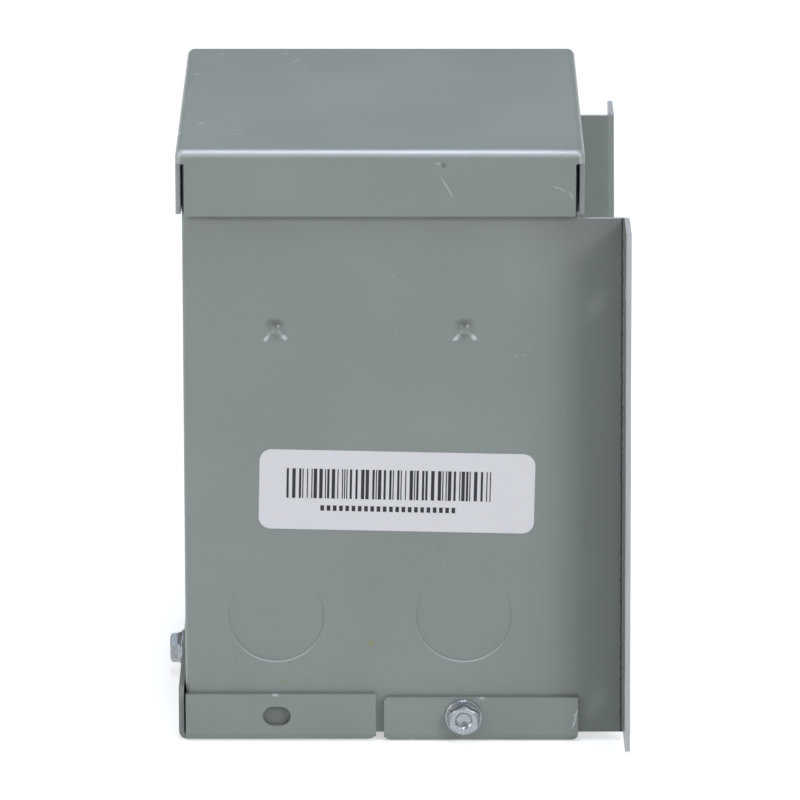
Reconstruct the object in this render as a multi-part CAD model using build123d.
from build123d import *
from math import atan2, degrees
import os

# A dry transformer potted in a folded steel enclosure that hangs on a wall.
# Millimetres, +Z up, +Y towards the wall. The origin is on the underside of the base plate,
# half way across the box and half way between its front face and the wall.

# Enclosure
sheet = 1.2
box_width = 100.2
box_depth = 90.5
stand_off = 12.4
side_bottom = 2.0
lid_top = 141.6
front_fold = 2.4

# Wall flanges
flange_reach = 14.3
flange_fold = 1.7
mount_hole = 5.6
mount_edge = 6.1
mount_end = 14.0

# Lid
lid_skirt = 15.4
lid_gap = 0.5
lid_end_gap = 0.15
skirt_clearance = 0.9
lid_fold = 1.8
lid_corner_slit = 0.8
lid_corner_depth = 3.2

# Bottom plates
cover_length = 44.2
plate_slit = 1.9
cover_lift = 0.25
cover_tab_top = 11.25
base_tab_top = 10.7
lip_top = 12.25
tab_gap = 0.4
plate_fold = 2.0
plate_end_gap = 0.05
base_overrun = 0.7
tab_corner = 2.2
base_tab_corner = 1.0
slot_length = 6.5
slot_height = 4.8

# Rear panel
panel_flange = 9.0
panel_gap = 0.2
panel_fold = 1.6
step_relief = 1.4

# Knockouts and pressed dimples on the sides
column_setback = 21.2
column_spacing = 43.4
knockout_diameter = 22.2
knockout_height = 30.2
knockout_sink = 0.6
knockout_hinge = 7.0
dimple_height = 98.8
dimple_radius = 3.0
dimple_floor = 1.0
dimple_depth = 0.9
dimple_boss = 2.2

# Screws
screw_height = 6.3
hex_flats = 6.35
hex_height = 2.0
washer_radius = 4.25
washer_height = 1.5
shank_radius = 2.0
shank_length = 9.5
screw_clearance = 0.3
ground_screw_x = -30.0
ground_screw_height = 16.6

# Label
label_length = 63.5
label_height = 19.05
label_thickness = 0.15
label_corner = 2.8
label_setback = 49.1
label_z = 60.4
label_tilt = 1.2

# Resin block
fit = 0.3
resin_above_knockout = 7.0
resin_corner = 1.5

# Laminated core
core_side_cover = 11.1
core_end_cover = 23.5
clamp_lip = 3.0

# Coil
bobbin_wall = 1.4
bobbin_flange = 1.2
primary_share = 0.525
coil_clearance = 2.0
paper_build = 0.5
tape_build = 0.4
layer_gap = 0.1
coil_corner = 3.0

# Lead-outs
lead_radius = 1.4
lead_pitch = 10.0
leads_a_side = 4
lead_tail = 22.0

# Places worked out from the sizes above
side_face = box_width / 2
front_face = -(box_depth + stand_off) / 2
rear_face = front_face + box_depth
wall_plane = rear_face + stand_off
box_middle = (front_face + rear_face) / 2
front_column = front_face + column_setback
rear_column = front_column + column_spacing
cover_rear_edge = front_face + cover_length
label_y = front_face + label_setback
inner_side = side_face - sheet
wrap_top = lid_top - sheet - fit
side_top = lid_top - lid_skirt - skirt_clearance
flange_tip = side_face + flange_reach
resin_bottom = knockout_height + knockout_diameter / 2 + resin_above_knockout
resin_top = wrap_top - fit
core_width = box_width - 2 * core_side_cover
core_leg = core_width / 6
core_window = 3 * core_leg
core_stack = box_depth - 2 * core_end_cover
core_height = core_window + 2 * core_leg
core_centre_z = (resin_bottom + resin_top) / 2
core_bottom = core_centre_z - core_height / 2
window_bottom = core_bottom + core_leg
core_split = window_bottom + core_window
core_top = core_bottom + core_height
coil_extras = fit + bobbin_wall + paper_build + tape_build + 4 * layer_gap + coil_clearance
winding_space = core_leg - coil_extras
primary_build = primary_share * winding_space
secondary_build = winding_space - primary_build
lip_face = front_face - tab_gap - sheet
tab_face = side_face + tab_gap + sheet
base_front_edge = cover_rear_edge + plate_slit


def side_line(points, distance):
    """Corners of the line that runs at a distance to the left of a line of straight runs."""
    corners = [Vector(*point) for point in points]
    runs = [(b - a).normalized() for a, b in zip(corners, corners[1:])]
    normals = [Vector(-run.Y, run.X) for run in runs]
    line = [corners[0] + normals[0] * distance]
    for corner, before, after in zip(corners[1:], normals, normals[1:]):
        line.append(corner + (before + after) * (distance / (1 + before.dot(after))))
    line.append(corners[-1] + normals[-1] * distance)
    return line


def turns_left(a, b, c):
    """Whether the way from a over b to c turns left."""
    return (b[0] - a[0]) * (c[1] - b[1]) > (b[1] - a[1]) * (c[0] - b[0])


def folded_sheet(points, folds):
    """Section of a folded sheet whose mid-line runs through points, with outer fold radii."""
    left_radii = [0]
    right_radii = [0]
    for fold, a, b, c in zip(folds, points, points[1:], points[2:]):
        left = turns_left(a, b, c)
        left_radii.append(fold - sheet if left else fold)
        right_radii.append(fold if left else fold - sheet)
    radii = left_radii + [0, 0] + right_radii[:0:-1] + [0]
    outline = side_line(points, sheet / 2) + side_line(points, -sheet / 2)[::-1]
    return make_face(FilletPolyline(*outline, radius=radii, close=True))


def raise_section(section, low, high):
    """Extrude a section drawn on the ground plane from one height to another."""
    return Pos(0, 0, low) * extrude(section, high - low)


def block(low, high):
    """Box between two opposite corners."""
    size = [b - a for a, b in zip(low, high)]
    middle = [(a + b) / 2 for a, b in zip(low, high)]
    return Pos(*middle) * Box(*size)


def middle_block(width, depth, low, high, extra=0.0):
    """Block about the middle of the box, between two heights, larger all round by extra."""
    half_x = width / 2 + extra
    half_y = depth / 2 + extra
    corner = (-half_x, box_middle - half_y, low - extra)
    return block(corner, (half_x, box_middle + half_y, high + extra))


def rod_x(radius, length, y, z, x=0.0):
    """Round bar along X, centred on a point."""
    return Pos(x, y, z) * Rot(0, 90, 0) * Cylinder(radius, length)


def rod_y(radius, length, x, z, y=0.0):
    """Round bar along Y, centred on a point."""
    return Pos(x, y, z) * Rot(90, 0, 0) * Cylinder(radius, length)


def knockout_wedge(side, y, plane_x):
    """Thin wedge between a face of the side and a disc that is punched in below its hinge line."""
    radius = knockout_diameter / 2
    disc = rod_x(radius, 2 * sheet, 0, 0)
    tilt = atan2(knockout_sink, radius + knockout_hinge)
    slab = block((0, -2 * radius, -4 * radius), (2 * sheet, 2 * radius, 0))
    slab = Pos(0, 0, knockout_hinge) * Rot(0, degrees(tilt), 0) * slab
    wedge = disc & slab & block((-sheet, -radius, -radius), (0, radius, knockout_hinge))
    turn = Rot(0, 0, 0) if side > 0 else Rot(0, 0, 180)
    return Pos(side * plane_x, y, knockout_height) * turn * wedge


def press_dimple(wrap, side, y):
    """Press a cone into one side and raise the round boss behind it."""
    boss = rod_x(dimple_boss, dimple_depth + sheet / 2, y, dimple_height)
    boss = Pos(side * (side_face - sheet - (dimple_depth - sheet / 2) / 2), 0, 0) * boss
    cone = Cone(dimple_floor, dimple_radius, dimple_depth)
    middle = side * (side_face - dimple_depth / 2)
    return wrap + boss - Pos(middle, y, dimple_height) * Rot(0, 90 * side, 0) * cone


def columns():
    """Each side with each of its two columns of knockouts and dimples."""
    return [(side, y) for side in (-1, 1) for y in (front_column, rear_column)]


def make_enclosure_wrap():
    """Front, two sides and two wall flanges, folded from one sheet."""
    half = side_face - sheet / 2
    wall = wall_plane - sheet / 2
    front = front_face + sheet / 2
    corners = [(flange_tip, wall), (half, wall), (half, front)]
    points = [(-x, y) for x, y in corners] + corners[::-1]
    section = folded_sheet(points, [flange_fold, front_fold, front_fold, flange_fold])
    wrap = raise_section(section, side_bottom, wrap_top)
    reach = flange_tip + sheet
    wrap -= block((-reach, rear_face - step_relief, side_top), (reach, wall_plane + sheet, lid_top))
    for side, y in columns():
        wrap = press_dimple(wrap, side, y)
        wrap += knockout_wedge(side, y, inner_side)
        wrap -= knockout_wedge(side, y, side_face)
    hole = shank_radius + screw_clearance
    wrap -= rod_x(hole, 2 * side_face + sheet, rear_column, screw_height)
    wrap -= rod_y(hole, 3 * sheet, 0, screw_height, front_face)
    for x in (-flange_tip + mount_edge, flange_tip - mount_edge):
        for z in (side_bottom + mount_end, side_top - mount_end):
            wrap -= rod_y(mount_hole / 2, 3 * sheet, x, z, wall_plane)
    return wrap


def make_rear_panel():
    """Panel between the sides, with a flange turned forward along each of them."""
    half = inner_side - panel_gap - sheet / 2
    back = rear_face - sheet / 2
    edge = rear_face - panel_flange
    points = [(-half, edge), (-half, back), (half, back), (half, edge)]
    section = folded_sheet(points, [panel_fold, panel_fold])
    panel = raise_section(section, side_bottom, wrap_top)
    return panel - rod_y(shank_radius, 3 * sheet, ground_screw_x, ground_screw_height, rear_face)


def lid_strip(half, length):
    """Top and two skirts of the lid across one direction, as long as the skirts are."""
    low = lid_top - lid_skirt
    high = lid_top - sheet / 2
    middle = half - sheet / 2
    points = [(-middle, low), (-middle, high), (middle, high), (middle, low)]
    section = folded_sheet(points, [lid_fold, lid_fold])
    return Rot(90, 0, 0) * extrude(section, length / 2, both=True)


def lid_cap(half_x, half_y, top):
    """Flat block under the lid's top, with its upper edges and its upright edges."""
    cap = block((-half_x, -half_y, lid_top - lid_corner_depth), (half_x, half_y, top))
    return cap, cap.edges().group_by(Axis.Z)[-1], cap.edges().filter_by(Axis.Z)


def make_top_lid():
    """Cap whose four skirts part at slits that run up to the folded corners of the top."""
    half_x = side_face + lid_gap + sheet
    half_y = box_depth / 2 + lid_end_gap + sheet
    column_x = half_x - sheet - lid_corner_slit
    column_y = half_y - sheet - lid_corner_slit
    sides = lid_strip(half_x, 2 * column_y)
    ends = Rot(0, 0, 90) * lid_strip(half_y, 2 * column_x)
    cap, upper, upright = lid_cap(half_x, half_y, lid_top)
    hollow, hollow_upper, _ = lid_cap(half_x - sheet, half_y - sheet, lid_top - sheet)
    cap = fillet(upper + upright, lid_fold) - fillet(hollow_upper, lid_fold - sheet)
    cap -= block((-column_x, -2 * half_y, 0), (column_x, 2 * half_y, lid_top + sheet))
    cap -= block((-2 * half_x, -column_y, 0), (2 * half_x, column_y, lid_top + sheet))
    return Pos(0, box_middle, 0) * (sides + ends + cap)


def side_tab_section(tab_top):
    """Bottom plate with a tab turned up on each side."""
    middle = tab_face - sheet / 2
    points = [(-middle, tab_top), (-middle, sheet / 2), (middle, sheet / 2), (middle, tab_top)]
    return folded_sheet(points, [plate_fold, plate_fold])


def tab_corner_waste(y, z, inward_y, inward_z, radius):
    """What a rounded corner at y, z cuts off both side tabs, given which way the tab lies."""
    far_y = y + inward_y * radius
    far_z = z + inward_z * radius
    reach = tab_face + sheet
    low = (-reach, min(y, far_y), min(z, far_z))
    high = (reach, max(y, far_y), max(z, far_z))
    waste = block(low, high) - rod_x(radius, 3 * reach, far_y, far_z)
    inner = side_face - plate_fold
    return waste - block((-inner, y - 2 * radius, z - 2 * radius), (inner, y + 2 * radius, z + 2 * radius))


def make_side_tabs(front, rear, tab_top):
    """Folded plate from one edge to another with its side tabs."""
    plate = Rot(90, 0, 0) * extrude(side_tab_section(tab_top), (rear - front) / 2, both=True)
    return Pos(0, (front + rear) / 2, 0) * plate


def oval_slot(y):
    """Oval slot through both side tabs."""
    slot = Plane.YZ * SlotOverall(slot_length, slot_height)
    return Pos(0, y, screw_height) * extrude(slot, 2 * tab_face, both=True)


def make_access_cover():
    """Front half of the bottom with a front lip and two side tabs."""
    tab_front = front_face + plate_end_gap
    tabs = make_side_tabs(tab_front, cover_rear_edge, cover_tab_top)
    middle = lip_face + sheet / 2
    points = [(middle, lip_top), (middle, sheet / 2), (cover_rear_edge, sheet / 2)]
    lip = extrude(Plane.YZ * folded_sheet(points, [plate_fold]), side_face, both=True)
    cover = Pos(0, 0, cover_lift) * (tabs + lip)
    cover -= oval_slot(front_column)
    cover -= tab_corner_waste(cover_rear_edge, cover_lift, -1, 1, tab_corner)
    return cover - rod_y(shank_radius + screw_clearance, 4 * sheet, 0, screw_height, lip_face)


def make_base_plate():
    """Rear half of the bottom with two side tabs, run a little past the rear panel."""
    rear_edge = rear_face + base_overrun
    plate = make_side_tabs(base_front_edge, rear_edge, base_tab_top)
    plate -= tab_corner_waste(base_front_edge, base_tab_top, 1, -1, base_tab_corner)
    plate -= tab_corner_waste(base_front_edge, 0, 1, 1, tab_corner)
    plate -= tab_corner_waste(rear_edge, 0, -1, 1, tab_corner)
    return plate - rod_x(shank_radius + screw_clearance, 3 * tab_face, rear_column, screw_height)


def hex_screw():
    """Hex washer head screw along Z, with the underside of its head at the origin."""
    head = extrude(RegularPolygon(hex_flats / 2, 6, major_radius=False), washer_height + hex_height)
    washer = raise_section(Circle(washer_radius), 0, washer_height)
    shank = raise_section(Circle(shank_radius), -shank_length, 0)
    return head + washer + shank


def make_cover_screw():
    """Screw through the front lip of the cover."""
    return Pos(0, lip_face, screw_height) * Rot(90, 0, 0) * hex_screw()


def make_base_screw(side):
    """Screw through one side tab of the base plate."""
    return Pos(side * tab_face, rear_column, screw_height) * Rot(0, 90 * side, 0) * hex_screw()


def make_ground_screw():
    """Screw in the rear panel with its head inside the wiring compartment."""
    place = Pos(ground_screw_x, rear_face - sheet, ground_screw_height)
    return place * Rot(90, 0, 0) * hex_screw()


def make_bar_label():
    """Label with round corners, stuck slightly tilted on the right-hand side."""
    outline = Plane.YZ * RectangleRounded(label_length, label_height, label_corner)
    label = extrude(outline, label_thickness)
    return Pos(side_face, label_y, label_z) * Rot(-label_tilt, 0, 0) * label


def coil_ring(inner, outer, low, high):
    """Closed ring round the core's middle leg, between two distances from it."""
    rings = []
    for reach in (outer, inner):
        width = 2 * (core_leg + reach)
        depth = core_stack + 2 * reach
        rings.append(RectangleRounded(width, depth, min(coil_corner, reach)))
    return Pos(0, box_middle, 0) * raise_section(rings[0] - rings[1], low, high)


def layer_edges():
    """Distances from the core's middle leg to the inner and outer face of each coil layer."""
    edges = {}
    reach = fit
    builds = [
        ("bobbin", bobbin_wall),
        ("primary", primary_build),
        ("paper", paper_build),
        ("secondary", secondary_build),
        ("tape", tape_build),
    ]
    for name, build in builds:
        edges[name] = (reach, reach + build)
        reach += build + layer_gap
    return edges


edges = layer_edges()
coil_low = window_bottom + fit
coil_high = window_bottom + core_window - fit
winding_low = coil_low + bobbin_flange + layer_gap
winding_high = coil_high - bobbin_flange - layer_gap
coil_reach = edges["tape"][1]


def lead_places():
    """Number, X and Y of each lead-out, primary along the front and secondary along the rear."""
    places = []
    for kind, face in (("primary", -1), ("secondary", 1)):
        reach = sum(edges[kind]) / 2
        for number in range(leads_a_side):
            x = (number - (leads_a_side - 1) / 2) * lead_pitch
            y = box_middle + face * (core_stack / 2 + reach)
            places.append((f"lead_{kind}_{number + 1}", x, y))
    return places


def make_resin_block():
    """Resin that fills the enclosure above the wiring compartment, round the core and coil."""
    front = front_face + sheet + fit
    rear = rear_face - sheet - fit
    wide = inner_side - fit
    resin = block((-wide, front, resin_bottom), (wide, rear, resin_top))
    resin = fillet(resin.edges().filter_by(Axis.Z).group_by(Axis.Y)[0], resin_corner)
    flange_start = rear_face - panel_flange - fit
    flange_inner = inner_side - panel_gap - sheet - fit
    for side in (-1, 1):
        low_x, high_x = sorted((side * flange_inner, side * (wide + sheet)))
        resin -= block((low_x, flange_start, resin_bottom - fit), (high_x, rear + sheet, resin_top + fit))
    pocket = dimple_radius + fit
    for side, y in columns():
        low_x, high_x = sorted((side * (side_face - sheet - dimple_depth - fit), side * side_face))
        corner = (low_x, y - pocket, dimple_height - pocket)
        resin -= block(corner, (high_x, y + pocket, dimple_height + pocket))
    clamp_width = core_width + 2 * (sheet + fit)
    resin -= middle_block(clamp_width, core_stack, core_bottom, core_top + sheet + fit, fit)
    coil_width = 2 * (core_leg + coil_reach)
    resin -= middle_block(coil_width, core_stack + 2 * coil_reach, coil_low, coil_high, fit)
    for _, x, y in lead_places():
        low = resin_bottom - fit
        resin -= Pos(x, y, 0) * raise_section(Circle(lead_radius + fit), low, coil_low)
    return resin


def make_core_e_laminations():
    """Stack of E laminations with its back at the bottom and three legs up."""
    core = middle_block(core_width, core_stack, core_bottom, core_split)
    window = core_width / 2 - 2 * core_leg
    for side in (-1, 1):
        shift = side * (core_leg + window / 2)
        core -= Pos(shift, 0, 0) * middle_block(window, 2 * core_stack, window_bottom, core_split + fit)
    return core


def make_core_i_laminations():
    """Stack of I laminations that closes the legs at the top."""
    return middle_block(core_width, core_stack, core_split, core_top)


def make_core_clamp():
    """Steel channel pressed over the laminations from above, down to near their lower edge."""
    half = core_width / 2 + fit + sheet / 2
    top = core_top + fit + sheet / 2
    low = core_bottom + clamp_lip
    points = [(-half, low), (-half, top), (half, top), (half, low)]
    section = folded_sheet(points, [panel_fold, panel_fold])
    channel = Rot(90, 0, 0) * extrude(section, core_stack / 2, both=True)
    return Pos(0, box_middle, 0) * channel


def make_coil_bobbin():
    """Tube round the core's middle leg with a flange at each end and a slot for each row of leads."""
    bobbin = coil_ring(*edges["bobbin"], coil_low, coil_high)
    inner = edges["bobbin"][0]
    for low in (coil_low, coil_high - bobbin_flange):
        high = low + bobbin_flange
        flange = middle_block(2 * (core_leg + coil_reach), core_stack + 2 * coil_reach, low, high)
        bobbin += flange - middle_block(2 * (core_leg + inner), core_stack + 2 * inner, low, high)
    half_row = (leads_a_side - 1) / 2 * lead_pitch + lead_radius + fit
    half_slot = lead_radius + fit
    for y in sorted({y for _, _, y in lead_places()}):
        bobbin -= block((-half_row, y - half_slot, coil_low - fit), (half_row, y + half_slot, winding_low))
    return bobbin


def make_lead(x, y):
    """Sleeved wire that leaves a winding and hangs straight out of the resin."""
    low = resin_bottom - lead_tail
    return Pos(x, y, 0) * raise_section(Circle(lead_radius), low, winding_low - layer_gap)


parts = {
    "enclosure_wrap": make_enclosure_wrap(),
    "rear_panel": make_rear_panel(),
    "top_lid": make_top_lid(),
    "access_cover": make_access_cover(),
    "base_plate": make_base_plate(),
    "cover_screw": make_cover_screw(),
    "base_screw_right": make_base_screw(1),
    "base_screw_left": make_base_screw(-1),
    "ground_screw": make_ground_screw(),
    "bar_label": make_bar_label(),
    "resin_block": make_resin_block(),
    "core_e_laminations": make_core_e_laminations(),
    "core_i_laminations": make_core_i_laminations(),
    "core_clamp": make_core_clamp(),
    "coil_bobbin": make_coil_bobbin(),
    "primary_winding": coil_ring(*edges["primary"], winding_low, winding_high),
    "winding_insulation": coil_ring(*edges["paper"], winding_low, winding_high),
    "secondary_winding": coil_ring(*edges["secondary"], winding_low, winding_high),
    "coil_tape": coil_ring(*edges["tape"], winding_low, winding_high),
}
for lead_name, lead_x, lead_y in lead_places():
    parts[lead_name] = make_lead(lead_x, lead_y)

os.makedirs("parts", exist_ok=True)
for name, shape in parts.items():
    export_step(shape, f"parts/{name}.step")
